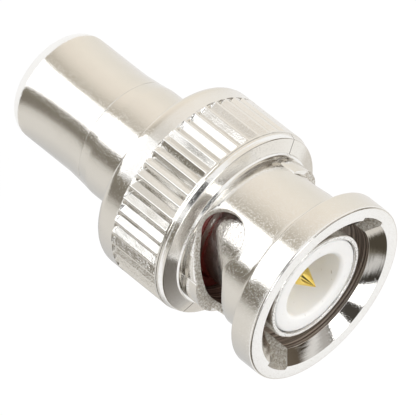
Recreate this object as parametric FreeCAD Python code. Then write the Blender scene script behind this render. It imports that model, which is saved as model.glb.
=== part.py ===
import FreeCAD, Part
import math
import os

from FreeCAD import Base
from FreeCAD import Vector

# A plug-to-jack adapter for video leads: a bayonet plug at the top, a phono jack at the bottom.
# It stands on the jack's end face. Z runs up its axis, and all heights are from that face.
# Millimetres.

# Phono jack end
jack_radius = 4.15          # standard 8.3 mm outer contact
jack_end_round = 1.35       # the large round at the jack's mouth
jack_bore = 2.5             # bore that holds the white insulator
flare_start = 5.9           # the barrel starts to widen here
seam_height = 7.42          # visible ring where the jack shell meets the body
seam_radius = 4.28
spigot_radius = 3.4
spigot_bottom = 5.3

# Main body
collar_radius = 4.4
flare_end = 8.3
flange_radius = 4.9         # the flange that the nut turns against
flange_bottom = 12.3
flange_top = 13.15
journal_radius = 4.1        # the nut turns on this
journal_top = 17.5
nose_radius = 3.72          # the contact tube is pressed on this
nose_top = 19.0
clip_groove_radius = 3.7
insulator_split = 15.0      # the two insulators meet here inside the bore

# Bayonet plug contact
mouth_height = 26.7         # front face of the nut, the overall length
tube_radius = 4.07
tube_top = mouth_height - 0.89
tube_rim = 0.08             # small chamfer on the tube's rim
cavity_radius = 2.62        # recess in the white insulator
cavity_bottom = 20.4
insulator_inset = 0.05      # the insulator stays this far inside the tube
insulator_edge = 0.12
pin_radius = 0.675          # standard 1.35 mm centre pin
pin_cone = 1.25
pin_tip = 0.04

# Coupling nut
knurl_radius = 7.15
nut_bottom = 11.85
rear_round = 0.9
knurl_bottom = 13.75        # grooves run from here
knurl_top = 17.85           # to here
shoulder_edge = 18.15
shoulder_height = 18.5
shoulder_radius = 6.98
step_radius = 6.0           # small raised ring at the root of the sleeve
step_height = 18.78
step_top = 18.96
step_lean = 0.1
sleeve_radius = 5.4
sleeve_bottom = 18.72
sleeve_bore = 4.87
rim_radius = 6.86           # collar at the mouth
cove_start = 23.95          # the sleeve sweeps out to the collar from here
cove_middle = (5.76, 24.33)
rim_rear = 24.87
rim_edge = 0.13
mouth_radius = 5.81         # countersink at the mouth
countersink_depth = 0.75
inner_flange_top = 14.9      # the spring stack pushes the nut back by this inner flange
nut_hole = 4.2
rear_pocket_radius = 5.0
shoulder_gap = 0.03         # the spring holds the nut this near the flange

# Straight knurl
rib_count = 46
rib_depth = 0.38
rib_flank = 0.38            # half the width of a groove at its mouth
knife_reach = 1.3           # the cutting wedge stands this much taller than the groove

# Bayonet slots, as angles round from the side that faces the viewer
detent_angle = 14.0
detent_height = mouth_height - 6.13
detent_radius = 1.79
slot_end_angle = 91.0
slot_end_height = mouth_height - 5.3
slot_end_radius = 1.05
detent_start = 62           # the detent's arc runs from this angle
detent_step = 24
detent_points = 11
end_step = 36
end_points = 6
slot_rear_side = [(49, 6.87), (70, 6.42)]               # angle, depth below the mouth
slot_front_side = [(60, 4.3), (45, 4.45), (31, 4.8)]
entry_angle = 101.0         # centre of the groove that lets the lug in
entry_width = 2.5
entry_radius = 6.05
entry_floor_sleeve = 5.2    # the groove gets shallower under the thin sleeve
entry_slope_bottom = 24.1
entry_slope_top = 25.1
ramp_radius = 3.4            # swelling that backs the slot where the lug enters
ramp_offset = 2.4
ramp_angle = 88.0
ramp_top = 20.4

# Spring stack between the nut's inner flange and the retaining clip
washer_inner = 4.16
washer_outer = 4.8
washer_gap = 0.03           # running gap between neighbours in the stack
thrust_bottom = inner_flange_top + washer_gap
washer_thick = 0.3
spring_bottom = 15.25
spring_top = 16.23
spring_sheet = 0.2
spring_waves = 3
spring_inset = 0.06         # the strip is this much narrower than the washers on each side
clip_bottom = 16.6
clip_thick = 0.5
clip_outer = 4.75
clip_gap_angle = 50.0
gasket_bottom = clip_bottom + clip_thick
gasket_top = 18.6
gasket_outer = 4.82

# Phono socket contact
contact_bottom = 0.8
contact_bore = 1.6          # takes a 3.2 mm phono pin
contact_outer = 1.95
contact_top = 14.5
contact_room = 0.12         # the fingers can spread by this much
finger_slots = 4
finger_slot_width = 0.35
finger_length = 6.0
finger_root = 0.5           # the room round the fingers goes this much deeper
pin_shank_radius = 1.0      # the pin's thicker part, pressed into the insulator
pin_shank_bottom = 13.0
jack_recess = 0.25          # the insulator sits this far inside the jack's end

beyond = 1.0                # how far a cutting shape stands out past what it cuts

origin = Vector(0, 0, 0)
up = Vector(0, 0, 1)


def turned(points):
    """Revolve a closed outline of (radius, height) points."""
    corners = [Vector(radius, 0, height) for radius, height in points]
    face = Part.Face(Part.makePolygon(corners + corners[:1]))
    return face.revolve(origin, up, 360)


def ring(inner, outer, bottom, top):
    return turned([(inner, bottom), (outer, bottom), (outer, top), (inner, top)])


def stepped_arc(start, middle, end, steps):
    """Points on the arc through three (radius, height) points. A round is turned in a
    few steps like this, which keeps the piece light."""
    arc = Part.Arc(*[Vector(radius, 0, height) for radius, height in (start, middle, end)])
    return [(point.x, point.z) for point in arc.discretize(Number=steps + 1)]


def rounded_foot(radius, height, size, steps):
    """The round at a turned piece's lower outer edge."""
    inset = size * (1 - math.sqrt(0.5))
    middle = (radius - inset, height + inset)
    return stepped_arc((radius - size, height), middle, (radius, height + size), steps)


def facing(angle):
    """Unit vector at an angle round from the viewer's side, which is -Y."""
    turn = math.radians(angle)
    return Vector(math.sin(turn), -math.cos(turn), 0)


def turned_about_axis(shape, angle):
    copy = shape.copy()
    copy.rotate(origin, up, angle)
    return copy


def jack_shell():
    return turned([
        (jack_bore, 0),
        *rounded_foot(jack_radius, 0, jack_end_round, 3),
        (jack_radius, flare_start),
        (seam_radius, seam_height),
        (spigot_radius, seam_height),
        (spigot_radius, spigot_bottom),
        (jack_bore, spigot_bottom),
    ])


def main_body():
    return turned([
        (jack_bore, spigot_bottom),
        (spigot_radius, spigot_bottom),
        (spigot_radius, seam_height),
        (seam_radius, seam_height),
        (collar_radius, flare_end),
        (collar_radius, flange_bottom),
        (flange_radius, flange_bottom),
        (flange_radius, flange_top),
        (journal_radius, flange_top),
        (journal_radius, clip_bottom),
        (clip_groove_radius, clip_bottom),
        (clip_groove_radius, clip_bottom + clip_thick),
        (journal_radius, clip_bottom + clip_thick),
        (journal_radius, journal_top),
        (nose_radius, journal_top),
        (nose_radius, nose_top),
        (jack_bore, nose_top),
    ])


def contact_tube():
    return turned([
        (nose_radius, journal_top),
        (tube_radius, journal_top),
        (tube_radius, tube_top - 2 * tube_rim),
        (tube_radius - tube_rim, tube_top),
        (nose_radius, tube_top),
    ])


def front_insulator():
    outer = nose_radius - insulator_inset
    top = tube_top - insulator_inset
    return turned([
        (pin_shank_radius, insulator_split),
        (jack_bore, insulator_split),
        (jack_bore, nose_top),
        (outer, nose_top),
        (outer, top - insulator_edge),
        (outer - insulator_edge, top),
        (cavity_radius, top),
        (cavity_radius, cavity_bottom),
        (pin_shank_radius, cavity_bottom),
    ])


def rear_insulator():
    room = contact_outer + contact_room
    room_top = contact_bottom + finger_length + finger_root
    return turned([
        (room, jack_recess),
        (jack_bore, jack_recess),
        (jack_bore, insulator_split),
        (pin_shank_radius, insulator_split),
        (pin_shank_radius, contact_top),
        (contact_outer, contact_top),
        (contact_outer, room_top),
        (room, room_top),
    ])


def socket_contact():
    contact = turned([
        (contact_bore, contact_bottom),
        (contact_outer, contact_bottom),
        (contact_outer, contact_top),
        (pin_shank_radius, contact_top),
        (pin_shank_radius, pin_shank_bottom),
        (contact_bore, pin_shank_bottom),
    ])
    blade = Part.makeBox(2 * jack_bore, finger_slot_width, finger_length)
    blade.translate(Vector(0, -finger_slot_width / 2, contact_bottom))
    blades = [turned_about_axis(blade, 45 + 360 / finger_slots * k) for k in range(finger_slots)]
    return contact.cut(blades)


def centre_pin():
    cone_foot = tube_top - pin_cone
    return turned([
        (0, pin_shank_bottom),
        (pin_shank_radius, pin_shank_bottom),
        (pin_shank_radius, cavity_bottom),
        (pin_radius, cavity_bottom),
        (pin_radius, cone_foot),
        (pin_tip, tube_top),
        (0, tube_top),
    ])


def wrapped_slot(inner, outer):
    """The slot's outline, drawn on the unrolled sleeve, wrapped on a cylinder and
    thickened outwards. It is a round detent, a narrow neck, then a run that rises
    to the end where the lug comes in."""
    detent = math.radians(detent_angle) * sleeve_radius
    end = math.radians(slot_end_angle) * sleeve_radius
    points = []
    for step in range(detent_points):
        turn = math.radians(detent_start + detent_step * step)
        along = detent + detent_radius * math.cos(turn)
        points.append((along, detent_height + detent_radius * math.sin(turn)))
    points += [(math.radians(a) * sleeve_radius, mouth_height - d) for a, d in slot_rear_side]
    for step in range(end_points):
        turn = math.radians(-90 + end_step * step)
        along = end + slot_end_radius * math.cos(turn)
        points.append((along, slot_end_height + slot_end_radius * math.sin(turn)))
    points += [(math.radians(a) * sleeve_radius, mouth_height - d) for a, d in slot_front_side]

    cylinder = Part.Cylinder()
    cylinder.Radius = inner
    outline = Part.Geom2d.BSplineCurve2d()
    outline.interpolate([Base.Vector2d(s / sleeve_radius, h) for s, h in points], True)
    face = Part.Face(cylinder, Part.Wire([outline.toShape(cylinder)]))
    slot = face.makeOffsetShape(outer - inner, 1e-3, fill=True)
    slot.rotate(origin, up, -90)    # the cylinder's zero is +X, the viewer's side is -Y
    return slot


def entry_groove():
    """Straight groove from the mouth down to the slot, deep through the collar and
    shallow under the sleeve."""
    half = entry_width / 2
    bottom = slot_end_height - beyond / 2
    block = Part.makeBox(entry_width, rim_radius, mouth_height + beyond / 2 - bottom)
    block.translate(Vector(-half, -rim_radius, bottom))
    floor = turned([
        (0, slot_end_height - beyond),
        (entry_floor_sleeve, slot_end_height - beyond),
        (entry_floor_sleeve, entry_slope_bottom),
        (entry_radius, entry_slope_top),
        (entry_radius, mouth_height + beyond),
        (0, mouth_height + beyond),
    ])
    return turned_about_axis(block.common(floor), entry_angle)


def knurl_grooves():
    root = knurl_radius - rib_depth
    outline = Part.makePolygon([
        Vector(0, -root, knurl_bottom),
        Vector(rib_flank * knife_reach, -root - rib_depth * knife_reach, knurl_bottom),
        Vector(-rib_flank * knife_reach, -root - rib_depth * knife_reach, knurl_bottom),
        Vector(0, -root, knurl_bottom),
    ])
    groove = Part.Face(outline).extrude(Vector(0, 0, knurl_top - knurl_bottom))
    return [turned_about_axis(groove, 360 / rib_count * k) for k in range(rib_count)]


def coupling_nut():
    cove = stepped_arc((sleeve_radius, cove_start), cove_middle, (rim_radius, rim_rear), 3)
    flange_rear = flange_top + shoulder_gap
    nut = turned([
        (nut_hole, flange_rear),
        (rear_pocket_radius, flange_rear),
        (rear_pocket_radius, nut_bottom),
        *rounded_foot(knurl_radius, nut_bottom, rear_round, 2),
        (knurl_radius, shoulder_edge),
        (shoulder_radius, shoulder_height),
        (step_radius, step_height),
        (step_radius - step_lean, step_top),
        (sleeve_radius, sleeve_bottom),
        *cove,
        (rim_radius, mouth_height - rim_edge),
        (rim_radius - rim_edge, mouth_height),
        (mouth_radius, mouth_height),
        (sleeve_bore, mouth_height - countersink_depth),
        (sleeve_bore, inner_flange_top),
        (nut_hole, inner_flange_top),
    ])

    swelling = Part.makeCylinder(ramp_radius, ramp_top - sleeve_bottom, Vector(0, 0, sleeve_bottom), up)
    swelling.translate(facing(ramp_angle) * ramp_offset)
    hollow = Part.makeCylinder(sleeve_bore + 0.1, mouth_height, origin, up)
    swelling = swelling.cut(hollow)
    nut = nut.fuse([swelling, turned_about_axis(swelling, 180)])

    slot = wrapped_slot(sleeve_bore - beyond / 2, step_radius + beyond / 2)
    groove = entry_groove()
    cutters = [slot, turned_about_axis(slot, 180), groove, turned_about_axis(groove, 180)]
    nut = nut.cut(cutters)
    return nut.cut(knurl_grooves())


def wave_spring():
    """A ring of thin strip that waves up and down round its circle."""
    middle = (spring_bottom + spring_top) / 2
    swing = (spring_top - spring_bottom - spring_sheet) / 2
    steps = 8 * spring_waves

    def rail(radius, lift):
        points = []
        for step in range(steps):
            turn = 2 * math.pi * step / steps
            height = middle + lift + swing * math.sin(spring_waves * turn)
            points.append(Vector(radius * math.cos(turn), radius * math.sin(turn), height))
        curve = Part.BSplineCurve()
        curve.interpolate(points, PeriodicFlag=True)
        return curve.toShape()

    half = spring_sheet / 2
    inner = washer_inner + spring_inset
    outer = washer_outer - spring_inset
    rails = [rail(inner, -half), rail(outer, -half), rail(outer, half), rail(inner, half)]
    faces = [Part.makeRuledSurface(rails[k], rails[(k + 1) % 4]) for k in range(4)]
    shell = Part.makeShell(faces)
    shell.sewShape()
    spring = Part.makeSolid(shell)
    if spring.Volume < 0:
        spring.reverse()
    return spring


def retaining_clip():
    clip = ring(clip_groove_radius, clip_outer, clip_bottom, clip_bottom + clip_thick)
    half = math.radians(clip_gap_angle / 2)
    reach = clip_outer + beyond
    gap = Part.Face(Part.makePolygon([
        Vector(0, 0, clip_bottom - beyond),
        Vector(-reach * math.tan(half), reach, clip_bottom - beyond),
        Vector(reach * math.tan(half), reach, clip_bottom - beyond),
        Vector(0, 0, clip_bottom - beyond),
    ])).extrude(Vector(0, 0, clip_thick + 2 * beyond))
    return clip.cut(gap)


def gasket():
    return ring(journal_radius, gasket_outer, gasket_bottom, gasket_top)


flat_bottom = clip_bottom - washer_gap - washer_thick
pieces = {
    "jack_shell": jack_shell(),
    "main_body": main_body(),
    "contact_tube": contact_tube(),
    "front_insulator": front_insulator(),
    "rear_insulator": rear_insulator(),
    "socket_contact": socket_contact(),
    "centre_pin": centre_pin(),
    "coupling_nut": coupling_nut(),
    "thrust_washer": ring(washer_inner, washer_outer, thrust_bottom, thrust_bottom + washer_thick),
    "wave_spring": wave_spring(),
    "flat_washer": ring(washer_inner, washer_outer, flat_bottom, flat_bottom + washer_thick),
    "retaining_clip": retaining_clip(),
    "gasket": gasket(),
}

os.makedirs("parts", exist_ok=True)
for name, shape in pieces.items():
    solid = shape.Solids[0]
    print(name, "valid", solid.isValid(), "solids", len(shape.Solids), "volume", round(solid.Volume, 2))
    solid.exportStep("parts/" + name + ".step")
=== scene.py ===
import math

import bmesh
import bpy
from mathutils import Matrix, Vector, geometry, noise


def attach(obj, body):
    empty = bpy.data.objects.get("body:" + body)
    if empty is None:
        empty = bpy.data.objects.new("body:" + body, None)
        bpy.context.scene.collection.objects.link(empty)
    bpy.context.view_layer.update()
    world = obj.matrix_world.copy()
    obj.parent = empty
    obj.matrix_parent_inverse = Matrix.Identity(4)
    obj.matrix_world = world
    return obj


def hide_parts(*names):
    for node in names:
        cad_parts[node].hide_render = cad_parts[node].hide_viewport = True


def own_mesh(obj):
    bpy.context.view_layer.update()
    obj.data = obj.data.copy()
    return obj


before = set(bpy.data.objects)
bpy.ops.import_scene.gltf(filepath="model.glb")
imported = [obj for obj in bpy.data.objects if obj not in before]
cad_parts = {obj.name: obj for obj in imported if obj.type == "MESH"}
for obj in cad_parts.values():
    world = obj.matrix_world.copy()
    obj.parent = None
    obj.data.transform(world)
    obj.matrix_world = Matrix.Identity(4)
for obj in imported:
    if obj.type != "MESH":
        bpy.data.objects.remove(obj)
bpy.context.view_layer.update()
print("frame loaded:", ", ".join(sorted(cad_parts)))

mm = 0.001      # every size below is in mm, the scene is in metres

camera = {
    "place": (0.0, -314.02, 181.56),
    "right": (-0.620334, 0.366567, 0.69341),
    "up": (-0.784338, -0.288874, -0.54897),
    "lens": 458.49,             # mm on a 36 mm sensor
}


def linear(hexColour):
    parts = [int(hexColour[i:i + 2], 16) / 255 for i in (1, 3, 5)]
    return tuple(c / 12.92 if c <= 0.04045 else ((c + 0.055) / 1.055) ** 2.4 for c in parts) + (1,)


def addNode(tree, kind, inputs=None, **settings):
    # an input is a number or colour, or another node's output that it is linked from
    node = tree.nodes.new(kind)
    for name, value in settings.items():
        setattr(node, name, value)
    for name, value in (inputs or {}).items():
        if isinstance(value, bpy.types.NodeSocket):
            tree.links.new(value, node.inputs[name])
        elif value is not None:
            node.inputs[name].default_value = value
    return node


def emptyMaterial(name):
    material = bpy.data.materials.new(name)
    material.use_nodes = True
    material.node_tree.nodes.clear()
    return material, material.node_tree


def toward(angle, radius=1.0):
    # angles go round from the viewer's side, which is -Y, towards +X
    turn = math.radians(angle)
    return Vector((radius * math.sin(turn), -radius * math.cos(turn), 0))


# Camera
eye = bpy.data.cameras.new("camera")
eye.lens = camera["lens"]
eye.sensor_width = 36
eye.clip_start = 0.01
eye.clip_end = 10
eyeObject = bpy.data.objects.new("camera", eye)
bpy.context.scene.collection.objects.link(eyeObject)
right = Vector(camera["right"]).normalized()
above = Vector(camera["up"])
above = (above - right * above.dot(right)).normalized()
turn = Matrix((right, above, right.cross(above))).transposed().to_4x4()
eyeObject.matrix_world = Matrix.Translation(Vector(camera["place"]) * mm) @ turn
bpy.context.scene.camera = eyeObject
bpy.context.scene.view_settings.view_transform = "Standard"
print("camera set")


# Outlines are (radius, height) or (radius, height, rounding), with the material on the left
def rounded(corners, step=12):
    points = []
    for i, corner in enumerate(corners):
        here = Vector(corner[:2])
        if len(corner) < 3:
            points.append(here)
            continue
        before = (Vector(corners[i - 1][:2]) - here).normalized()
        after = (Vector(corners[(i + 1) % len(corners)][:2]) - here).normalized()
        half = before.angle(after) / 2
        centre = here + (before + after).normalized() * (corner[2] / math.sin(half))
        reach = corner[2] / math.tan(half)
        start = here + before * reach - centre
        end = here + after * reach - centre
        first = math.atan2(start.y, start.x)
        sweep = (math.atan2(end.y, end.x) - first + math.pi) % (2 * math.pi) - math.pi
        steps = max(2, math.ceil(abs(math.degrees(sweep)) / step))
        for k in range(steps + 1):
            a = first + sweep * k / steps
            points.append(centre + Vector((math.cos(a), math.sin(a))) * corner[2])
    return points


def divided(points, longest):
    # adds points along the long straight runs of an outline
    result = []
    for i, point in enumerate(points):
        following = points[(i + 1) % len(points)]
        pieces = max(1, math.ceil((following - point).length / longest))
        result += [point.lerp(following, k / pieces) for k in range(pieces)]
    return result


def joinRows(mesh, rows):
    for low, high in zip(rows, rows[1:]):
        for i in range(len(low)):
            after = (i + 1) % len(low)
            mesh.faces.new((low[i], low[after], high[after], high[i]))


def turnedMesh(points, angles, shape=None):
    mesh = bmesh.new()
    rows = []
    for radius, height in points:
        row = []
        for j, angle in enumerate(angles):
            r = shape(radius, height, j) if shape else radius
            row.append(mesh.verts.new((toward(angle, r) + Vector((0, 0, height))) * mm))
        rows.append(row)
    joinRows(mesh, rows + rows[:1])
    bmesh.ops.remove_doubles(mesh, verts=mesh.verts, dist=1e-8)
    return mesh


def evenAngles(count):
    return [360 * k / count for k in range(count)]


def meshObject(name, mesh):
    data = bpy.data.meshes.new(name)
    mesh.to_mesh(data)
    mesh.free()
    piece = bpy.data.objects.new(name, data)
    bpy.context.scene.collection.objects.link(piece)
    return piece


def smoothed(piece, sharp=30):
    # smooth faces, crisp edges, and flats that stay flat beside their rounds
    piece.data.polygons.foreach_set("use_smooth", [True] * len(piece.data.polygons))
    piece.data.set_sharp_from_angle(angle=math.radians(sharp))
    flats = piece.modifiers.new("flats", "WEIGHTED_NORMAL")
    flats.keep_sharp = True
    flats.weight = 80
    return piece


def finished(piece, body, slot, material, *nodes):
    indexes = [face.material_index for face in piece.data.polygons]
    piece.data.materials.clear()
    piece.data.materials.append(material)
    piece.data.polygons.foreach_set("material_index", indexes)
    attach(piece, body)
    if nodes:
        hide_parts(*nodes)
    return piece


def turnedPiece(name, corners, count=192):
    return smoothed(meshObject(name, turnedMesh(rounded(corners), evenAngles(count))))


# Materials. A colour mix takes its share at input 0 and its colours at 6 and 7, and gives output 2
def placeOf(tree):
    # the point's place in mm, whole and as x, y and z
    coords = addNode(tree, "ShaderNodeTexCoord")
    place = addNode(tree, "ShaderNodeVectorMath", {0: coords.outputs["Object"], "Scale": 1 / mm},
                    operation="SCALE").outputs[0]
    return place, addNode(tree, "ShaderNodeSeparateXYZ", {0: place})


platedLook = {
    "colour": "#F7F6F4",        # bright nickel, hardly warm
    "colourThin": "#F0EEEA",    # where the plating is a little duller
    "cloudSize": 2.5,           # mm across a duller patch
    "roughness": 0.075,
    "roughnessSpread": 0.06,
    "lineSize": 0.05,           # feed of the lathe tool, about 0.05 mm a turn
    "lineDepth": 0.0006,
    "grainSize": 0.085,         # grains of the plating, drawn as coarse as a pixel so that they show
    "grainDepth": 0.0035,
    "pimpleSize": 0.09,         # the plating's tiny pimples stand about this far apart
    "pimpleDepth": 0.004,
}
bodyLook = dict(platedLook, grainDepth=0.005, pimpleDepth=0.0055)
tubeLook = dict(platedLook, grainSize=0.12, grainDepth=0.012, pimpleDepth=0.014, roughness=0.1)
coneLook = dict(platedLook, lineSize=0.09, lineDepth=0.0032, grainDepth=0.0015, pimpleDepth=0.001,
                roughness=0.05)
nutLook = dict(platedLook, lineSize=0.07, lineDepth=0.0014)
castLook = {
    "pull": 12,                 # degrees: the mould opens this way, its joint lies at 90 to it
    "pitSize": 0.16,
    "pitDepth": 0.04,
    "patchSize": 1.2,
    "skinStart": 0.5,           # share of the way round to the joint where the skin begins
    "skinFull": 0.75,
    "skinTop": (18.3, 17.9),    # heights between which the skin fades in
    "weakSide": 0.3,            # the skin's strength on the left half
    "jointHalf": (0.05, 0.02),  # the joint's hair line, half as wide as this
    "jointFace": (18.5, 0.4),   # the middle and half height of the face that it crosses
    "jointColour": "#6E6A66",
}


def castSurface(tree, place, xyz, normal):
    # the casting skin left near the mould's joint, rough and pitted
    flat = addNode(tree, "ShaderNodeVectorMath", {0: place, 1: (1, 1, 0)}, operation="MULTIPLY")
    outward = addNode(tree, "ShaderNodeVectorMath", {0: flat.outputs[0]}, operation="NORMALIZE")
    side = addNode(tree, "ShaderNodeVectorMath",
                   {0: outward.outputs[0], 1: toward(castLook["pull"] + 90)}, operation="DOT_PRODUCT")
    side = addNode(tree, "ShaderNodeMath", {0: side.outputs["Value"]}, operation="ABSOLUTE")
    patches = addNode(tree, "ShaderNodeTexNoise", {"Vector": place, "Scale": 1 / castLook["patchSize"]})
    edge = addNode(tree, "ShaderNodeMath", {0: patches.outputs[0], 1: 0.5, 2: -0.25}, operation="MULTIPLY_ADD")
    reach = addNode(tree, "ShaderNodeMath", {0: side.outputs[0], 1: edge.outputs[0]}, operation="ADD")
    skin = addNode(tree, "ShaderNodeMapRange", {"Value": reach.outputs[0], "From Min": castLook["skinStart"],
                                                "From Max": castLook["skinFull"]})
    start, full = castLook["skinTop"]
    height = addNode(tree, "ShaderNodeMapRange", {"Value": xyz.outputs["Z"], "From Min": start, "From Max": full})
    rightward = addNode(tree, "ShaderNodeMapRange", {"Value": xyz.outputs["X"], "From Min": -2.0, "From Max": 2.0,
                                                     "To Min": castLook["weakSide"]})
    strength = addNode(tree, "ShaderNodeMath", {0: skin.outputs[0], 1: height.outputs[0]}, operation="MULTIPLY")
    strength = addNode(tree, "ShaderNodeMath", {0: strength.outputs[0], 1: rightward.outputs[0]},
                       operation="MULTIPLY")
    pits = addNode(tree, "ShaderNodeTexNoise", {"Vector": place, "Scale": 1 / castLook["pitSize"],
                                                "Detail": 3.0, "Roughness": 0.6})
    pitted = addNode(tree, "ShaderNodeBump", {"Height": pits.outputs[0], "Strength": strength.outputs[0],
                                              "Distance": castLook["pitDepth"] * mm, "Normal": normal})
    return pitted.outputs[0]


def mouldJoint(tree, place, xyz, colour):
    # the hair line where the two mould halves met, across the front face
    across = addNode(tree, "ShaderNodeVectorMath", {0: place, 1: toward(castLook["pull"])},
                     operation="DOT_PRODUCT")
    across = addNode(tree, "ShaderNodeMath", {0: across.outputs["Value"]}, operation="ABSOLUTE")
    wide, narrow = castLook["jointHalf"]
    line = addNode(tree, "ShaderNodeMapRange", {"Value": across.outputs[0], "From Min": wide, "From Max": narrow})
    middle, half = castLook["jointFace"]
    onFace = addNode(tree, "ShaderNodeMath", {0: xyz.outputs["Z"], 1: middle, 2: half}, operation="COMPARE")
    share = addNode(tree, "ShaderNodeMath", {0: line.outputs[0], 1: onFace.outputs[0]}, operation="MULTIPLY")
    return addNode(tree, "ShaderNodeMix", {0: share.outputs[0], 6: colour, 7: linear(castLook["jointColour"])},
                   data_type="RGBA").outputs[2]


def nickelPlated(name, look, cast=False):
    # bright nickel on metal: sharp reflections, grainy at their edges, over fine rings
    material, tree = emptyMaterial(name)
    place, xyz = placeOf(tree)
    lines = addNode(tree, "ShaderNodeTexNoise", {"W": xyz.outputs["Z"], "Scale": 1 / look["lineSize"],
                                                 "Detail": 3.0, "Roughness": 0.7}, noise_dimensions="1D")
    grain = addNode(tree, "ShaderNodeTexNoise", {"Vector": place, "Scale": 1 / look["grainSize"], "Detail": 1.0})
    cells = addNode(tree, "ShaderNodeTexVoronoi", {"Vector": place, "Scale": 1 / look["pimpleSize"]})
    pimples = addNode(tree, "ShaderNodeMapRange", {"Value": cells.outputs["Distance"],
                                                   "From Min": 0.36, "From Max": 0.05})
    normal = None
    for relief, depth in ((lines, "lineDepth"), (grain, "grainDepth"), (pimples, "pimpleDepth")):
        normal = addNode(tree, "ShaderNodeBump", {"Height": relief.outputs[0], "Distance": look[depth] * mm,
                                                  "Normal": normal}).outputs[0]
    cloud = addNode(tree, "ShaderNodeTexNoise", {"Vector": place, "Scale": 1 / look["cloudSize"], "Detail": 3.0})
    spread = look["roughnessSpread"]
    rough = addNode(tree, "ShaderNodeMath", {0: cloud.outputs[0], 1: spread, 2: look["roughness"] - spread / 2},
                    operation="MULTIPLY_ADD")
    colour = addNode(tree, "ShaderNodeMix", {0: cloud.outputs[0], 6: linear(look["colour"]),
                                             7: linear(look["colourThin"])}, data_type="RGBA").outputs[2]
    if cast:
        normal = castSurface(tree, place, xyz, normal)
        colour = mouldJoint(tree, place, xyz, colour)
    shader = addNode(tree, "ShaderNodeBsdfPrincipled", {"Metallic": 1.0, "Base Color": colour,
                                                        "Roughness": rough.outputs[0], "Normal": normal})
    addNode(tree, "ShaderNodeOutputMaterial", {"Surface": shader.outputs[0]})
    return material


bodyNickel = nickelPlated("nickelPlatedTurnedBrass", bodyLook)
nutNickel = nickelPlated("nickelPlatedCastZinc", nutLook, cast=True)
tubeNickel = nickelPlated("nickelPlatedDrawnBrass", tubeLook)
coneNickel = nickelPlated("nickelPlatedTurnedCone", coneLook)


acetalLook = {
    "colour": "#FAFAF9",
    "speckColour": "#CFCBC4",   # a few grains of dust
    "speckSize": 0.26,
    "speckLimits": (0.79, 0.86),
    "lineSize": 0.12,
    "lineDepth": 0.0008,
    "roughness": 0.42,
}


def acetalWhite(name, look):
    # turned acetal: soft white, a faint sheen, light that goes a little way in, a few specks of dust
    material, tree = emptyMaterial(name)
    place, xyz = placeOf(tree)
    lines = addNode(tree, "ShaderNodeTexNoise", {"W": xyz.outputs["Z"], "Scale": 1 / look["lineSize"],
                                                 "Detail": 3.0, "Roughness": 0.7}, noise_dimensions="1D")
    relief = addNode(tree, "ShaderNodeBump", {"Height": lines.outputs[0], "Distance": look["lineDepth"] * mm})
    dust = addNode(tree, "ShaderNodeTexNoise", {"Vector": place, "Scale": 1 / look["speckSize"], "Detail": 0.0})
    none, full = look["speckLimits"]
    speck = addNode(tree, "ShaderNodeMapRange", {"Value": dust.outputs[0], "From Min": none, "From Max": full})
    tone = addNode(tree, "ShaderNodeMix", {0: speck.outputs[0], 6: linear(look["colour"]),
                                           7: linear(look["speckColour"])}, data_type="RGBA")
    shader = addNode(tree, "ShaderNodeBsdfPrincipled", {
        "Base Color": tone.outputs[2], "Normal": relief.outputs[0], "Roughness": look["roughness"], "IOR": 1.48,
        "Subsurface Weight": 0.6, "Subsurface Radius": (0.9, 0.85, 0.8), "Subsurface Scale": mm})
    addNode(tree, "ShaderNodeOutputMaterial", {"Surface": shader.outputs[0]})
    return material


insulatorWhite = acetalWhite("turnedWhiteAcetal", acetalLook)


def metalFinish(name, colour, darker, roughness, lineSize, lineDepth):
    # plain metal with faint rings or rolling lines, and tarnish in soft clouds
    material, tree = emptyMaterial(name)
    place, xyz = placeOf(tree)
    lines = addNode(tree, "ShaderNodeTexNoise", {"W": xyz.outputs["Z"], "Scale": 1 / lineSize, "Detail": 3.0,
                                                 "Roughness": 0.7}, noise_dimensions="1D")
    relief = addNode(tree, "ShaderNodeBump", {"Height": lines.outputs[0], "Distance": lineDepth * mm})
    cloud = addNode(tree, "ShaderNodeTexNoise", {"Vector": place, "Scale": 1 / 0.8, "Detail": 3.0})
    tone = addNode(tree, "ShaderNodeMix", {0: cloud.outputs[0], 6: linear(colour), 7: linear(darker)},
                   data_type="RGBA")
    shader = addNode(tree, "ShaderNodeBsdfPrincipled", {"Metallic": 1.0, "Roughness": roughness,
                                                        "Base Color": tone.outputs[2], "Normal": relief.outputs[0]})
    addNode(tree, "ShaderNodeOutputMaterial", {"Surface": shader.outputs[0]})
    return material


pinGold = metalFinish("goldPlatedTurnedBrass", "#FFE68C", "#F8D768", 0.1, 0.06, 0.0006)
washerSteel = metalFinish("stampedSteel", "#B9B7B2", "#9C9A95", 0.3, 0.05, 0.0008)
springSteel = metalFinish("rolledSpringSteel", "#8E8B86", "#6F6C69", 0.28, 0.04, 0.0008)


rubberLook = {
    "colour": "#8E2A1F",
    "darker": "#741D17",
    "skinSize": 0.09,
    "skinDepth": 0.002,
    "cloudSize": 1.3,
    "roughness": 0.38,
}


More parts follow.
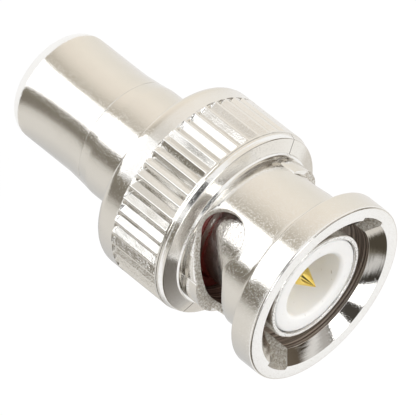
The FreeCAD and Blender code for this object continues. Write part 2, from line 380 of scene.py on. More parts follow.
def mouldedRubber(name, look):
    # moulded silicone rubber: deep red, satin, with a fine skin
    material, tree = emptyMaterial(name)
    place, xyz = placeOf(tree)
    skin = addNode(tree, "ShaderNodeTexNoise", {"Vector": place, "Scale": 1 / look["skinSize"]})
    relief = addNode(tree, "ShaderNodeBump", {"Height": skin.outputs[0], "Distance": look["skinDepth"] * mm})
    cloud = addNode(tree, "ShaderNodeTexNoise", {"Vector": place, "Scale": 1 / look["cloudSize"]})
    tone = addNode(tree, "ShaderNodeMix", {0: cloud.outputs[0], 6: linear(look["colour"]),
                                           7: linear(look["darker"])}, data_type="RGBA")
    shader = addNode(tree, "ShaderNodeBsdfPrincipled", {"Roughness": look["roughness"], "IOR": 1.43,
                                                        "Base Color": tone.outputs[2], "Normal": relief.outputs[0]})
    addNode(tree, "ShaderNodeOutputMaterial", {"Surface": shader.outputs[0]})
    return material


gasketRed = mouldedRubber("mouldedRedSilicone", rubberLook)


def roughMetal(name, pitted, size, contrast, paintedShadeTone, bright, metallic, roughness, depth):
    # metal left rough under its plating. Pitted, it has broken glints and pits. Otherwise it
    # has coarse cutting rings. Size is a pit's or a ring's, in mm. Its colour follows the same
    # marks: painted shade in the pits and ring grooves, and painted glints on the raised spots and
    # ring crests, over the real relief
    material, tree = emptyMaterial(name)
    place, xyz = placeOf(tree)
    if pitted:
        marks = addNode(tree, "ShaderNodeTexNoise", {"Vector": place, "Scale": 1 / size, "Roughness": 0.6})
    else:
        marks = addNode(tree, "ShaderNodeTexNoise", {"W": xyz.outputs["Z"], "Scale": 1 / size, "Detail": 3.0,
                                                     "Roughness": 0.7}, noise_dimensions="1D")
    # painted light: the tone is darker in the hollows as painted shade and lighter on the raised marks as painted
    # glints
    share = addNode(tree, "ShaderNodeMapRange", {"Value": marks.outputs[0], "From Min": 0.5 - contrast,
                                                 "From Max": 0.5 + contrast})
    tone = addNode(tree, "ShaderNodeMix", {0: share.outputs[0], 6: linear(paintedShadeTone), 7: linear(bright)},
                   data_type="RGBA")
    relief = addNode(tree, "ShaderNodeBump", {"Height": marks.outputs[0], "Distance": depth * mm})
    shader = addNode(tree, "ShaderNodeBsdfPrincipled", {"Metallic": metallic, "Roughness": roughness,
                                                        "Base Color": tone.outputs[2], "Normal": relief.outputs[0]})
    addNode(tree, "ShaderNodeOutputMaterial", {"Surface": shader.outputs[0]})
    return material


# painted shade and glints: the slot walls' pits are painted darker and their raised spots lighter
slotSkin = roughMetal("platedCastSlotWall", True, 0.13, 0.1, "#D2CBC0", "#FFFEFA", 0.7, 0.45, 0.09)
# painted shade: the bore's dark brown tone stands for the shade deep inside the bore, and its lighter rings are
# painted glints over the real cutting rings
boreSkinPaintedShade = roughMetal("platedCoarseBorePaintedShade", False, 0.2, 0.12, "#8C7F76", "#EFE4DA", 1.0, 0.4, 0.05)
print("materials ready")


# Phono end and body
jack = {
    "radius": 4.15,
    "endRound": 1.35,
    "bore": 2.5,
    "flareStart": 5.9,
    "seamHeight": 7.42,
    "seamRadius": 4.28,
    "spigot": (3.4, 5.3),
}
jackShell = turnedPiece("jackShell", [
    (jack["bore"], 0, 0.08),
    (jack["radius"], 0, jack["endRound"]),
    (jack["radius"], jack["flareStart"], 6),
    (jack["seamRadius"], jack["seamHeight"], 0.05),
    (jack["spigot"][0], jack["seamHeight"]),
    (jack["spigot"][0], jack["spigot"][1]),
    (jack["bore"], jack["spigot"][1]),
])
finished(jackShell, "body", "nickel_plated_brass", bodyNickel, "jack_shell")

body = {
    "collar": 4.4,
    "flareEnd": 8.3,
    "flange": (4.9, 12.3, 13.15),
    "journal": 4.1,
    "clipGroove": (3.7, 16.6, 17.1),
    "journalTop": 17.5,
    "nose": (3.72, 19.0),
}
mainBody = turnedPiece("mainBody", [
    (jack["bore"], jack["spigot"][1]),
    (jack["spigot"][0], jack["spigot"][1]),
    (jack["spigot"][0], jack["seamHeight"]),
    (jack["seamRadius"], jack["seamHeight"], 0.05),
    (body["collar"], body["flareEnd"], 3),
    (body["collar"], body["flange"][1], 0.04),
    (body["flange"][0], body["flange"][1], 0.05),
    (body["flange"][0], body["flange"][2]),
    (body["journal"], body["flange"][2]),
    (body["journal"], body["clipGroove"][1]),
    (body["clipGroove"][0], body["clipGroove"][1]),
    (body["clipGroove"][0], body["clipGroove"][2]),
    (body["journal"], body["clipGroove"][2]),
    (body["journal"], body["journalTop"]),
    (body["nose"][0], body["journalTop"]),
    (body["nose"][0], body["nose"][1]),
    (jack["bore"], body["nose"][1]),
])
finished(mainBody, "body", "nickel_plated_brass", bodyNickel, "main_body")

tube = {
    "inner": 3.72,
    "outer": 4.07,
    "neck": 3.88,               # behind the rim the tube is a little thinner
    "bottom": 17.5,
    "neckStart": (18.2, 18.9),
    "neckEnd": (23.9, 24.6),
    "sweep": 0.5,
    "top": 25.81,
    "rim": 0.11,
}
contactTube = turnedPiece("contactTube", [
    (tube["inner"], tube["bottom"]),
    (tube["outer"], tube["bottom"]),
    (tube["outer"], tube["neckStart"][0], 0.2),
    (tube["neck"], tube["neckStart"][1], tube["sweep"]),
    (tube["neck"], tube["neckEnd"][0], tube["sweep"]),
    (tube["outer"], tube["neckEnd"][1], tube["sweep"]),
    (tube["outer"], tube["top"], tube["rim"]),
    (tube["inner"], tube["top"], 0.06),
])
finished(contactTube, "body", "nickel_plated_brass", tubeNickel, "contact_tube")

insulator = {
    "outer": 3.67,
    "top": 25.76,
    "edge": 0.16,
    "cavity": 2.46,
    "cavityBottom": 20.4,
    "cavityEdge": 0.3,
    "split": 15.0,              # where the front and the rear insulator meet
    "pinHole": 1.0,
}
frontInsulator = turnedPiece("frontInsulator", [
    (insulator["pinHole"], insulator["split"]),
    (jack["bore"], insulator["split"]),
    (jack["bore"], body["nose"][1]),
    (insulator["outer"], body["nose"][1]),
    (insulator["outer"], insulator["top"], insulator["edge"]),
    (insulator["cavity"], insulator["top"], insulator["cavityEdge"]),
    (insulator["cavity"], insulator["cavityBottom"], 0.15),
    (insulator["pinHole"], insulator["cavityBottom"]),
])
finished(frontInsulator, "body", "white_insulator", insulatorWhite, "front_insulator")

rear = {
    "bottom": 0.25,
    "inner": 2.07,
    "seat": 1.95,               # holds the socket contact
    "seatBottom": 7.3,
    "seatTop": 14.5,
}
rearInsulator = turnedPiece("rearInsulator", [
    (rear["inner"], rear["bottom"], 0.15),
    (jack["bore"], rear["bottom"], 0.05),
    (jack["bore"], insulator["split"]),
    (insulator["pinHole"], insulator["split"]),
    (insulator["pinHole"], rear["seatTop"]),
    (rear["seat"], rear["seatTop"]),
    (rear["seat"], rear["seatBottom"]),
    (rear["inner"], rear["seatBottom"]),
])
finished(rearInsulator, "body", "white_insulator", insulatorWhite, "rear_insulator")

pin = {
    "radius": 0.675,
    "shank": 1.0,
    "foot": 13.0,
    "step": 20.4,
    "coneFoot": 24.56,
    "tip": 25.81,
}
centrePin = turnedPiece("centrePin", [
    (0, pin["foot"]),
    (pin["shank"], pin["foot"]),
    (pin["shank"], pin["step"], 0.05),
    (pin["radius"], pin["step"]),
    (pin["radius"], pin["coneFoot"], 0.1),
    (0.03, pin["tip"], 0.02),
    (0, pin["tip"]),
], 96)
finished(centrePin, "body", "gold_plated_contact", pinGold, "centre_pin")

gasketShape = {
    "inner": 4.1,
    "outer": 4.82,
    "bottom": 17.1,
    "top": 18.6,
    "edge": 0.12,
}
gasket = turnedPiece("gasketRing", [
    (gasketShape["inner"], gasketShape["bottom"]),
    (gasketShape["outer"], gasketShape["bottom"], gasketShape["edge"]),
    (gasketShape["outer"], gasketShape["top"], gasketShape["edge"]),
    (gasketShape["inner"], gasketShape["top"], 0.05),
])
finished(gasket, "body", "red_rubber", gasketRed, "gasket")
print("body pieces turned")


# Coupling nut
nut = {
    "knurlRadius": 7.15,
    "bottom": 11.85,
    "rearRound": 0.9,
    "grooves": (13.75, 17.85),
    "grooveCount": 46,
    "grooveHalf": 0.43,
    "flankTilt": 40,
    "undercut": 6,              # degrees that a flank may lean past the mould's pull
    "pull": 12,                 # the mould opens this way, and its joint is at 90 degrees to it
    "crest": 0.045,
    "rearFade": 0.13,
    "frontFade": 0.1,
    "startWander": 0.07,
    "endWander": 0.04,
    "waviness": 0.1,
    "shoulder": [(7.15, 17.97, 0.015), (7.09, 17.99, 0.015), (7.09, 18.15, 0.1), (6.98, 18.5, 0.1),
                 (6.0, 18.78, 0.02)],
    "lip": [(5.96, 18.96, 0.03), (5.76, 18.96, 0.07), (5.6, 18.76, 0.12), (5.4, 18.74, 0.12)],
    "hole": 4.2,
    "pocket": (5.0, 13.18),
    "sleeve": 5.4,
    "sleeveBottom": 18.4,
    "neck": 5.3,
    "bore": 4.87,
    "innerFlange": 14.9,
    "cove": ((24.153, 0.44), (24.847, 0.16)),   # height and rounding at its foot and at the collar
    "rim": 6.86,
    "mouth": 26.7,
    "countersink": (5.81, 25.95),
}


def grooveColumns():
    # (angle, share of the full depth, groove number) for every column round the knurl
    pitch = 360 / nut["grooveCount"]
    toAngle = math.degrees(1 / nut["knurlRadius"])
    columns = []
    for k in range(nut["grooveCount"]):
        middle = pitch * k
        lean = (middle - nut["pull"] + 90) % 180 - 90
        limit = 90 + nut["undercut"]
        left = math.tan(math.radians(max(10, min(nut["flankTilt"], limit - lean))))
        rightSide = math.tan(math.radians(max(10, min(nut["flankTilt"], limit + lean))))
        width = 2 * nut["grooveHalf"]
        depth = width / (1 / left + 1 / rightSide)
        root = -nut["grooveHalf"] + depth / left
        e = nut["crest"]
        edge = [(-e, 0), (-e / 3, 1 / 9), (e / 3, 4 / 9), (e, 1)]
        for t, part in edge:
            columns.append((middle + (-nut["grooveHalf"] + t) * toAngle, left * e * part, k))
        for t in (-e, 0, e):
            slope = left if t < 0 else rightSide
            columns.append((middle + (root + t) * toAngle, depth - abs(slope * t) - 0.012 * (t == 0), k))
        for t, part in reversed(edge):
            columns.append((middle + (nut["grooveHalf"] - t) * toAngle, rightSide * e * part, k))
        columns.append((middle + pitch / 2, 0, k))
    return columns


columns = grooveColumns()


def fade(t):
    t = min(1, max(0, t))
    return math.sqrt(1 - (1 - t) ** 2)


def knurled(radius, height, j):
    angle, depth, k = columns[j]
    if not nut["grooves"][0] - 0.1 < height < nut["grooves"][1] + 0.1 or depth == 0:
        return radius
    wander = noise.noise(Vector((k * 3.7, 0.5, 9.1)))
    start = nut["grooves"][0] + nut["startWander"] * wander
    end = nut["grooves"][1] + nut["endWander"] * noise.noise(Vector((k * 5.3, 7.7, 2.2)))
    wavy = 1 + nut["waviness"] * noise.noise(Vector((k * 1.9, height * 0.9, angle * 0.05)))
    faded = fade((height - start) / nut["rearFade"]) * fade((end - height) / nut["frontFade"])
    return radius - depth * wavy * faded


# rows lie closer where the grooves begin and end
low, high = nut["grooves"]
knurlRows = [low + d for d in (-0.09, -0.05, -0.02, 0, 0.015, 0.035, 0.06, 0.09, 0.13, 0.19)]
knurlRows += [low + 0.19 + (high - low - 0.35) * k / 12 for k in range(1, 12)]
knurlRows += [high + d for d in (-0.12, -0.08, -0.04, -0.015, 0, 0.02, 0.05)]
neckFoot = (nut["neck"], nut["sleeveBottom"])
outerRun = rounded([
    (nut["pocket"][0], nut["bottom"]),
    (nut["knurlRadius"], nut["bottom"], nut["rearRound"]),
    (nut["knurlRadius"], low - 0.5),
])[1:]
outerRun += [Vector((nut["knurlRadius"], z)) for z in knurlRows]
outerRun += rounded([(nut["knurlRadius"], high)] + nut["shoulder"] + nut["lip"] + [neckFoot])[1:-1]
gripPoints = [Vector(corner) for corner in (
    (nut["hole"], nut["pocket"][1]),
    (nut["pocket"][0], nut["pocket"][1]),
    (nut["pocket"][0], nut["bottom"] + 0.1),
    (nut["pocket"][0] + 0.1, nut["bottom"]),
)]
gripPoints += outerRun
gripPoints += [Vector(corner) for corner in (
    neckFoot,
    (nut["bore"], nut["sleeveBottom"]),
    (nut["bore"], nut["innerFlange"]),
    (nut["hole"], nut["innerFlange"]),
)]
grip = meshObject("couplingNut", turnedMesh(gripPoints, [c[0] for c in columns], knurled))
print("knurl cut,", len(grip.data.polygons), "faces")

slots = {
    "detent": (14.0, 20.57, 1.79),      # angle, height, radius
    "end": (91.0, 21.4, 1.05),
    "rearSide": [(49, 6.87), (70, 6.42)],
    "frontSide": [(60, 4.3), (45, 4.45), (31, 4.8)],
    "edgeRound": 0.09,
    "entry": (101.0, 2.5, 6.05, 5.2),   # angle, width, floor in the collar, floor under the sleeve
    "entryStep": (24.1, 25.1),          # heights between which the floor changes
    "ramp": (88.0, 2.4, 3.4, 20.4),     # angle, offset, radius, top
}


def slotOutline(count=220):
    radius = nut["sleeve"]
    points = []
    angle, height, size = slots["detent"]
    for step in range(21):
        a = math.radians(62 + 12 * step)
        points.append((math.radians(angle) * radius + size * math.cos(a), height + size * math.sin(a)))
    points += [(math.radians(a) * radius, nut["mouth"] - d) for a, d in slots["rearSide"]]
    angle, height, size = slots["end"]
    for step in range(11):
        a = math.radians(-90 + 18 * step)
        points.append((math.radians(angle) * radius + size * math.cos(a), height + size * math.sin(a)))
    points += [(math.radians(a) * radius, nut["mouth"] - d) for a, d in slots["frontSide"]]
    # a smooth closed curve through the points, then evenly spaced
    curve = []
    total = len(points)
    for i in range(total):
        p0, p1, p2, p3 = (Vector(points[(i + n) % total]) for n in (-1, 0, 1, 2))
        knots = [0]
        for a, b in ((p0, p1), (p1, p2), (p2, p3)):
            knots.append(knots[-1] + max((b - a).length, 1e-6) ** 0.5)
        for s in range(8):
            t = knots[1] + (knots[2] - knots[1]) * s / 8
            a1 = (p0 * (knots[1] - t) + p1 * (t - knots[0])) / (knots[1] - knots[0])
            a2 = (p1 * (knots[2] - t) + p2 * (t - knots[1])) / (knots[2] - knots[1])
            a3 = (p2 * (knots[3] - t) + p3 * (t - knots[2])) / (knots[3] - knots[2])
            b1 = (a1 * (knots[2] - t) + a2 * (t - knots[0])) / (knots[2] - knots[0])
            b2 = (a2 * (knots[3] - t) + a3 * (t - knots[1])) / (knots[3] - knots[1])
            curve.append((b1 * (knots[2] - t) + b2 * (t - knots[1])) / (knots[2] - knots[1]))
    lengths = [0]
    for i, point in enumerate(curve):
        lengths.append(lengths[-1] + (curve[(i + 1) % len(curve)] - point).length)
    even = []
    i = 0
    for n in range(count):
        goal = lengths[-1] * n / count
        while lengths[i + 1] < goal:
            i += 1
        share = (goal - lengths[i]) / (lengths[i + 1] - lengths[i])
        even.append(curve[i].lerp(curve[(i + 1) % len(curve)], share))
    return even


def slotCutter(name, half):
    outline = slotOutline()
    count = len(outline)
    sides = []
    for i in range(count):
        along = (outline[(i + 1) % count] - outline[i - 1]).normalized()
        sides.append(Vector((along.y, -along.x)))
    e = slots["edgeRound"]
    levels = [(4.2, 0.0), (nut["sleeve"] - e, 0.0)]
    for a in (20, 40, 60, 75):
        levels.append((nut["sleeve"] - e + e * math.sin(math.radians(a)), e * (1 - math.cos(math.radians(a)))))
    levels += [(nut["sleeve"] + 0.03, 1.3 * e), (12.0, 1.4 * e)]
    mesh = bmesh.new()
    triangles = geometry.tessellate_polygon([[p.to_3d() for p in outline]])
    rows = []
    for r, offset in levels:
        row = []
        for point, side in zip(outline, sides):
            moved = point + side * offset
            place = toward(math.degrees(moved.x / nut["sleeve"]) + half, r)
            row.append(mesh.verts.new((place + Vector((0, 0, moved.y))) * mm))
        rows.append(row)
    joinRows(mesh, rows)
    for row in (rows[0], rows[-1]):
        for corners in triangles:
            mesh.faces.new([row[c] for c in corners])
    bmesh.ops.recalc_face_normals(mesh, faces=mesh.faces)
    return meshObject(name, mesh)


def entryCutter(name, half):
    angle, width, deep, shallow = slots["entry"]
    bottom = slots["end"][1] - 0.5
    top = nut["mouth"] + 1
    stepStart, stepEnd = slots["entryStep"]
    outline = [(2, bottom), (shallow, bottom), (shallow, stepStart), (deep, stepEnd), (deep, top), (2, top)]
    mesh = bmesh.new()
    rows = []
    for k in range(13):
        x = width * (k / 12 - 0.5)
        row = []
        for r, z in outline:
            place = Vector((x, -math.sqrt(r * r - x * x), z))
            row.append(mesh.verts.new(Matrix.Rotation(math.radians(angle + half), 3, "Z") @ place * mm))
        rows.append(row)
    joinRows(mesh, rows)
    mesh.faces.new(rows[0])
    mesh.faces.new(rows[-1])
    bmesh.ops.recalc_face_normals(mesh, faces=mesh.faces)
    return meshObject(name, mesh)


def rampSwelling(name):
    angle, offset, size, top = slots["ramp"]
    mesh = bmesh.new()
    for half in (0, 180):
        middle = toward(angle + half, offset)
        rows = []
        for z, inset in ((nut["sleeveBottom"] + 0.2, 0), (top - 0.12, 0), (top - 0.03, 0.04), (top, 0.12)):
            row = []
            for k in range(64):
                place = middle + toward(360 * k / 64, size - inset) + Vector((0, 0, z))
                row.append(mesh.verts.new(place * mm))
            rows.append(row)
        joinRows(mesh, rows)
        mesh.faces.new(rows[0])
        mesh.faces.new(rows[-1])
    bmesh.ops.recalc_face_normals(mesh, faces=mesh.faces)
    return meshObject(name, mesh)


def cutWith(piece, tool, operation):
    change = piece.modifiers.new(operation.lower(), "BOOLEAN")
    change.operation = operation
    change.solver = "EXACT"
    change.material_mode = "TRANSFER"
    change.object = tool
    bpy.context.view_layer.update()
    graph = bpy.context.evaluated_depsgraph_get()
    result = bpy.data.meshes.new_from_object(piece.evaluated_get(graph))
    piece.modifiers.clear()
    old = piece.data
    piece.data = result
    bpy.data.meshes.remove(old)
    bpy.data.objects.remove(tool)


coneRadius, coneFoot = nut["countersink"]
(coveFoot, footRound), (coveTop, topRound) = nut["cove"]
sleevePoints = divided(rounded([
    (nut["bore"], nut["sleeveBottom"]),
    (nut["sleeve"], nut["sleeveBottom"]),
    (nut["sleeve"], coveFoot, footRound),
    (nut["rim"], coveTop, topRound),
    (nut["rim"], nut["mouth"], 0.15),
    (coneRadius, nut["mouth"], 0.06),
    (nut["bore"], coneFoot, 0.06),
]), 0.6)
sleeve = meshObject("sleeve", turnedMesh(sleevePoints, evenAngles(300)))
sleeve.data.materials.append(nutNickel)
swelling = rampSwelling("swelling")
cutWith(sleeve, swelling, "UNION")
# the swelling's middle would fill the bore, so the bore is opened again
boreOutline = [(0, 18.0), (nut["bore"], 18.0), (nut["bore"], 22.0), (0, 22.0)]
boreTool = meshObject("bore", turnedMesh(rounded(boreOutline), evenAngles(300)))
cutWith(sleeve, boreTool, "DIFFERENCE")
for half in (0, 180):
    slotTool = slotCutter("slotCutter", half)
    slotTool.data.materials.append(slotSkin)
    cutWith(sleeve, slotTool, "DIFFERENCE")
for half in (0, 180):
    entryTool = entryCutter("entryCutter", half)
    entryTool.data.materials.append(slotSkin)
    cutWith(sleeve, entryTool, "DIFFERENCE")
print("sleeve cut,", len(sleeve.data.polygons), "faces")

sleeveMaterials = [m.name if m else "" for m in sleeve.data.materials]
for face in sleeve.data.polygons:
    middle = face.center / mm
    out = math.hypot(middle.x, middle.y)
    inward = face.normal.x * middle.x + face.normal.y * middle.y < -0.5 * out
    if sleeveMaterials[face.material_index] == slotSkin.name:
        face.material_index = 1
    # the bore's inward faces take the bore material with its painted shade
    elif inward and middle.z < coneFoot and out < nut["bore"] + 0.05:
        face.material_index = 2
    elif 0.5 < face.normal.z < 0.9 and middle.z > coneFoot and out < coneRadius:
        face.material_index = 3
    else:
        face.material_index = 0
whole = bmesh.new()
whole.from_mesh(grip.data)
whole.from_mesh(sleeve.data)
whole.to_mesh(grip.data)
whole.free()
bpy.data.objects.remove(sleeve)
smoothed(grip, 34)
finished(grip, "nut", "nickel_plated_nut", nutNickel, "coupling_nut")
for material in (slotSkin, boreSkinPaintedShade, coneNickel):
    grip.data.materials.append(material)
print("coupling nut made")


# Socket contact, with its sprung fingers
socket = {
    "bore": 1.6,
    "outer": 1.95,
    "bottom": 0.8,
    "top": 14.5,
    "floor": 13.0,
    "fingers": 4,
    "fingerSlot": 0.35,
    "fingerLength": 6.0,
}
contact = meshObject("socketContact", turnedMesh(rounded([
    (socket["bore"], socket["bottom"], 0.12),
    (socket["outer"], socket["bottom"], 0.05),
    (socket["outer"], socket["top"]),
    (pin["shank"], socket["top"]),
    (pin["shank"], socket["floor"]),
    (socket["bore"], socket["floor"]),
]), evenAngles(96)))
blades = bmesh.new()
bladeCount = socket["fingers"] // 2     # each blade cuts two slots
for k in range(bladeCount):
    made = bmesh.ops.create_cube(blades, size=1)["verts"]
    scale = Matrix.Diagonal((6, socket["fingerSlot"], socket["fingerLength"] + 1, 1))
    place = Matrix.Translation((0, 0, socket["bottom"] + (socket["fingerLength"] - 1) / 2))
    bmesh.ops.transform(blades, verts=made, matrix=Matrix.Scale(mm, 4)
                        @ Matrix.Rotation(math.radians(45 + 180 * k / bladeCount), 4, "Z") @ place @ scale)
bladeTool = meshObject("blades", blades)
cutWith(contact, bladeTool, "DIFFERENCE")
smoothed(contact)
finished(contact, "body", "gold_plated_contact", pinGold, "socket_contact")


# Wave spring
spring = {
    "inner": 4.22,
    "outer": 4.74,
    "bottom": 15.25,
    "top": 16.23,
    "sheet": 0.2,
    "waves": 3,
    "steps": 144,
}
waves = bmesh.new()
rows = []
swing = (spring["top"] - spring["bottom"] - spring["sheet"]) / 2
middle = (spring["top"] + spring["bottom"]) / 2
half = spring["sheet"] / 2
section = [(spring["inner"], -half), (spring["outer"], -half), (spring["outer"], half), (spring["inner"], half)]
for k in range(spring["steps"]):
    angle = 360 * k / spring["steps"]
    height = middle + swing * math.sin(math.radians((angle - 90) * spring["waves"]))
    rows.append([waves.verts.new((toward(angle, r) + Vector((0, 0, height + lift))) * mm) for r, lift in section])
joinRows(waves, rows + rows[:1])
bmesh.ops.recalc_face_normals(waves, faces=waves.faces)
waveSpring = smoothed(meshObject("waveSpring", waves))
finished(waveSpring, "body", "spring_steel", springSteel, "wave_spring")
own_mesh(waveSpring)

for node, material in (("thrust_washer", washerSteel), ("flat_washer", washerSteel), ("retaining_clip", springSteel)):
    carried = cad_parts[node]
    carried.data.materials.clear()
    carried.data.materials.append(material)
print("small parts ready")


# Studio: a white floor, reflector rings on it, two soft lamps and a pale world
studio = {
    "floorSize": 3.0,
    "floorHeight": -0.00002,
    "shadowShare": 0.05,
    "floorGlow": 1.03,
    "cameraDrop": 27.82,        # degrees that the camera looks down
}


def floorMaterial():
    # matt white sweep: white to the camera and in reflections, with the object's soft shadow kept
    material, tree = emptyMaterial("mattWhiteSweep")
    path = addNode(tree, "ShaderNodeLightPath")
    seen = path.outputs["Is Camera Ray"]
    for ray in ("Is Glossy Ray", "Is Transmission Ray"):
        seen = addNode(tree, "ShaderNodeMath", {0: seen, 1: path.outputs[ray]}, operation="MAXIMUM").outputs[0]
    share = addNode(tree, "ShaderNodeMath", {0: seen, 1: 1 - studio["shadowShare"]}, operation="MULTIPLY")
    glow = addNode(tree, "ShaderNodeEmission", {"Color": (1, 1, 1, 1), "Strength": studio["floorGlow"]})
    matt = addNode(tree, "ShaderNodeBsdfDiffuse", {"Color": (0.9, 0.9, 0.9, 1)})
    mixed = addNode(tree, "ShaderNodeMixShader", {0: share.outputs[0], 1: matt.outputs[0], 2: glow.outputs[0]})
    addNode(tree, "ShaderNodeOutputMaterial", {"Surface": mixed.outputs[0]})
    return material


def flatPiece(name, points, faces, material):
    data = bpy.data.meshes.new(name)
    data.from_pydata(points, [], faces)
    piece = bpy.data.objects.new(name, data)
    bpy.context.scene.collection.objects.link(piece)
    data.materials.append(material)
    return piece


s = studio["floorSize"] / 2
floorCorners = [(x, y, studio["floorHeight"]) for x, y in ((-s, -s), (s, -s), (s, s), (-s, s))]
flatPiece("floor", floorCorners, [(0, 1, 2, 3)], floorMaterial())

# Upright metal sees only the floor round its foot, so each ring of cards lies where one part sees
# it: inner and outer radius, the part's own radius and height, where its highlight ends, how
# bright that is, and how far its left cards are lightened.
reflectorRings = {
    "barrelRing": (5, 15, 4.15, 3.6, 15.5, 1.6, 0.0),
    "flareRing": (15, 26, 4.4, 9.6, 15.5, 1.6, 0.0),
    "knurlRing": (26, 40, 7.15, 15.0, 15.5, 1.1, 0.4),
    "sleeveRing": (40, 52.5, 5.4, 22.5, 17.6, 1.8, 0.0),
    "rimRing": (52.5, 75, 6.86, 25.8, 15.5, 1.8, 0.0),
}


def cardTones(highlightEnd, level):
    # (direction that the metal faces, card colour, brightness): cream to the left, a white
    # strip in front, a dark flag beside it and pale grey to the right
    return [
        (-100, "#F4F4F4", 1.0), (-78, "#EDEAE6", 1.0), (-60, "#EBE6DC", 1.0), (-40, "#F3EBDE", 1.0),
        (-27, "#ECE3D6", 1.0), (-20, "#DDD5C8", 1.0), (-14, "#C4BCAF", 1.0), (-8.5, "#C2BAAC", 1.0),
        (-7.0, "#FFFFFF", level), (highlightEnd, "#FFFFFF", level), (highlightEnd + 3, "#8C8679", 1.0),
        (25, "#7E786D", 1.0), (30, "#878177", 1.0), (35, "#CFCBC3", 1.0), (41, "#DEDAD3", 1.0),
        (52, "#DDD9D2", 1.0), (62, "#D2CFCA", 1.0), (76, "#CAC9C7", 1.0), (84, "#D5D4D3", 1.0),
    ]


def shareRound(tree, xyz):
    # how far round from behind a direction lies, from 0 to 1
    ahead = addNode(tree, "ShaderNodeMath", {0: xyz.outputs["Y"], 1: -1.0}, operation="MULTIPLY")
    angle = addNode(tree, "ShaderNodeMath", {0: xyz.outputs["X"], 1: ahead.outputs[0]}, operation="ARCTAN2")
    share = addNode(tree, "ShaderNodeMapRange", {"Value": angle.outputs[0], "From Min": -math.pi,
                                                 "From Max": math.pi})
    return share.outputs[0]


def reflectorRing(name, inner, outer, radius, height, highlightEnd, highlight, lift):
    material, tree = emptyMaterial(name + "Card")
    ramp = addNode(tree, "ShaderNodeValToRGB", {0: shareRound(tree, placeOf(tree)[1])})
    marks = ramp.color_ramp.elements
    reach = height / math.tan(math.radians(studio["cameraDrop"]))
    count = 0
    for facingAngle, colour, level in cardTones(highlightEnd, highlight):
        spot = toward(facingAngle, radius) + toward(2 * facingAngle, reach)
        place = math.degrees(math.atan2(spot.x, -spot.y))
        if abs(facingAngle) > 60 and place * facingAngle < 0:
            continue
        mark = marks[count] if count < 2 else marks.new(1.0)
        mark.position = (place + 180) / 360
        paler = lift if facingAngle < -7.5 else 0
        mark.color = [(c + (1 - c) * paler) * level / 2 for c in linear(colour)[:3]] + [1]
        count += 1
    glow = addNode(tree, "ShaderNodeEmission", {"Color": ramp.outputs[0], "Strength": 2.0})
    addNode(tree, "ShaderNodeOutputMaterial", {"Surface": glow.outputs[0]})
    sides = 96
    points = []
    for k in range(sides):
        for r in (inner, outer):
            points.append(tuple((toward(360 * k / sides, r) + Vector((0, 0, -0.01))) * mm))
    faces = [(2 * k, 2 * k + 1, (2 * k + 3) % (2 * sides), (2 * k + 2) % (2 * sides)) for k in range(sides)]
    card = flatPiece(name, points, faces, material)
    card.visible_camera = False
    card.visible_diffuse = False
    card.visible_shadow = False
    return card


for name, values in reflectorRings.items():
    reflectorRing(name, *values)


def softBox(name, left, right, near, far, height, level):
    # a flat overhead box, given by its edges in metres. level is how bright its face looks
    light = bpy.data.lights.new(name, "AREA")
    light.shape = "RECTANGLE"
    light.size = right - left
    light.size_y = far - near
    light.energy = level * math.pi * light.size * light.size_y
    lamp = bpy.data.objects.new(name, light)
    bpy.context.scene.collection.objects.link(lamp)
    lamp.location = ((left + right) / 2, (near + far) / 2, height)
    lamp.visible_camera = False
    return lamp


softBox("rightBox", 0.1, 0.28, -0.35, 0.1, 0.6, 2.6)
softBox("middleBox", -0.205, -0.058, -0.35, 0.1, 0.6, 2.6)

keyLamp = softBox("keyLamp", -0.62, -0.22, -0.35, 0.05, 0.5, 3.6)
keyLamp.rotation_euler = (Vector((0, 0, 0.02)) - keyLamp.location).to_track_quat("-Z", "Y").to_euler()
keyLamp.visible_glossy = False

sky = {
    # the studio's walls: degrees round from the viewer's side, and the colour there
    "walls": [
        (-180, "#FFFFFF"), (-165, "#FAF9F6"), (-150, "#F0ECE5"), (-138, "#6A6054"), (-118, "#5A5044"),
        (-106, "#EEE8DD"), (-80, "#F4ECE0"), (-50, "#F4EEE4"), (-40, "#FFFFFF"), (31, "#FFFFFF"),
        (38, "#8E887C"), (50, "#807A6E"), (62, "#8E887C"), (69, "#D2CDC5"), (80, "#E2DDD4"),
        (105, "#DDD9D2"), (116, "#7A7468"), (126, "#4A443A"), (150, "#4E483E"), (158, "#96928C"),
        (165, "#C0BEBC"), (174, "#F2F1F0"), (180, "#FFFFFF"),
    ],
    # overhead, from left to right: brown, grey, a pale wall, grey, then dark round the two boxes
    "overhead": [
        (-1.0, "#5A5048"), (-0.71, "#40382F"), (-0.665, "#4E463E"), (-0.635, "#D8D5D1"), (-0.56, "#DEDCD9"),
        (-0.5, "#B4B0AC"), (-0.39, "#AAA6A1"), (-0.36, "#4C4843"), (0.55, "#3A3631"), (0.6, "#C4C2BF"),
        (0.67, "#D2D0CD"), (0.7, "#8E8B86"), (1.0, "#6A6762"),
    ],
    "overheadLimits": [("Z", 0.56, 0.64), ("Y", 0.42, 0.3), ("Y", -0.5, -0.38)],
    "lowBack": "#D6D1C9",       # the wall low down behind the object
    "lowBackLimits": [("Z", 0.34, 0.26), ("Y", 0.1, 0.25)],
    "cameraGap": (0.2, 0.3),    # the wall is dark round the camera, out to here on either side
    "cameraBack": (-0.82, -0.74),
    "cameraDark": 0.1,
}


def skyBand(tree, share, tones, low, high):
    ramp = addNode(tree, "ShaderNodeValToRGB", {0: share})
    marks = ramp.color_ramp.elements
    for i, (place, colour) in enumerate(tones):
        mark = marks[i] if i < 2 else marks.new(1.0)
        mark.position = (place - low) / (high - low)
        mark.color = linear(colour)
    return ramp.outputs[0]


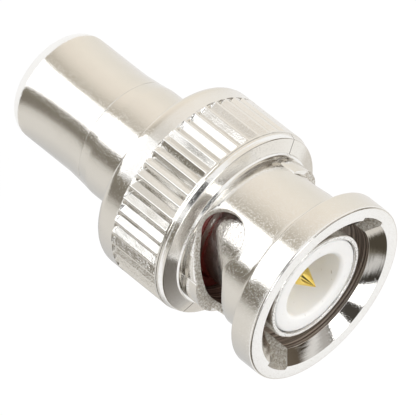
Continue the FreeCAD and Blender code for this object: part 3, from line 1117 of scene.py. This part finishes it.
def skyRegion(tree, xyz, limits):
    # 1 in one part of the sky and 0 elsewhere. A limit is an axis, where it is 0 and where it is 1
    share = 1.0
    for axis, none, full in limits:
        limit = addNode(tree, "ShaderNodeMapRange", {"Value": xyz.outputs[axis], "From Min": none, "From Max": full})
        share = addNode(tree, "ShaderNodeMath", {0: limit.outputs[0], 1: share}, operation="MULTIPLY").outputs[0]
    return share


world = bpy.data.worlds.new("paleStudio")
bpy.context.scene.world = world
world.use_nodes = True
tree = world.node_tree
tree.nodes.clear()
coords = addNode(tree, "ShaderNodeTexCoord")
xyz = addNode(tree, "ShaderNodeSeparateXYZ", {0: coords.outputs["Generated"]})
acrossShare = addNode(tree, "ShaderNodeMapRange", {"Value": xyz.outputs["X"], "From Min": -1.0, "From Max": 1.0})
walls = skyBand(tree, shareRound(tree, xyz), sky["walls"], -180, 180)
overhead = skyBand(tree, acrossShare.outputs[0], sky["overhead"], -1, 1)
tone = addNode(tree, "ShaderNodeMix", {0: skyRegion(tree, xyz, sky["lowBackLimits"]), 6: walls,
                                       7: linear(sky["lowBack"])}, data_type="RGBA")
tone = addNode(tree, "ShaderNodeMix", {0: skyRegion(tree, xyz, sky["overheadLimits"]), 6: tone.outputs[2],
                                       7: overhead}, data_type="RGBA")
sideways = addNode(tree, "ShaderNodeMath", {0: xyz.outputs["X"]}, operation="ABSOLUTE")
bright = sky["cameraDark"]
for place, (none, full) in ((sideways.outputs[0], sky["cameraGap"]), (xyz.outputs["Y"], sky["cameraBack"])):
    clear = addNode(tree, "ShaderNodeMapRange", {"Value": place, "From Min": none, "From Max": full})
    bright = addNode(tree, "ShaderNodeMath", {0: clear.outputs[0], 1: bright}, operation="MAXIMUM").outputs[0]
tone = addNode(tree, "ShaderNodeVectorMath", {0: tone.outputs[2], "Scale": bright}, operation="SCALE")
path = addNode(tree, "ShaderNodeLightPath")
shown = addNode(tree, "ShaderNodeMix", {0: path.outputs["Is Camera Ray"], 6: tone.outputs[0],
                                        7: (1, 1, 1, 1)}, data_type="RGBA")
glow = addNode(tree, "ShaderNodeBackground", {"Color": shown.outputs[2], "Strength": 1.0})
addNode(tree, "ShaderNodeOutputWorld", {"Surface": glow.outputs[0]})
print("studio lit")
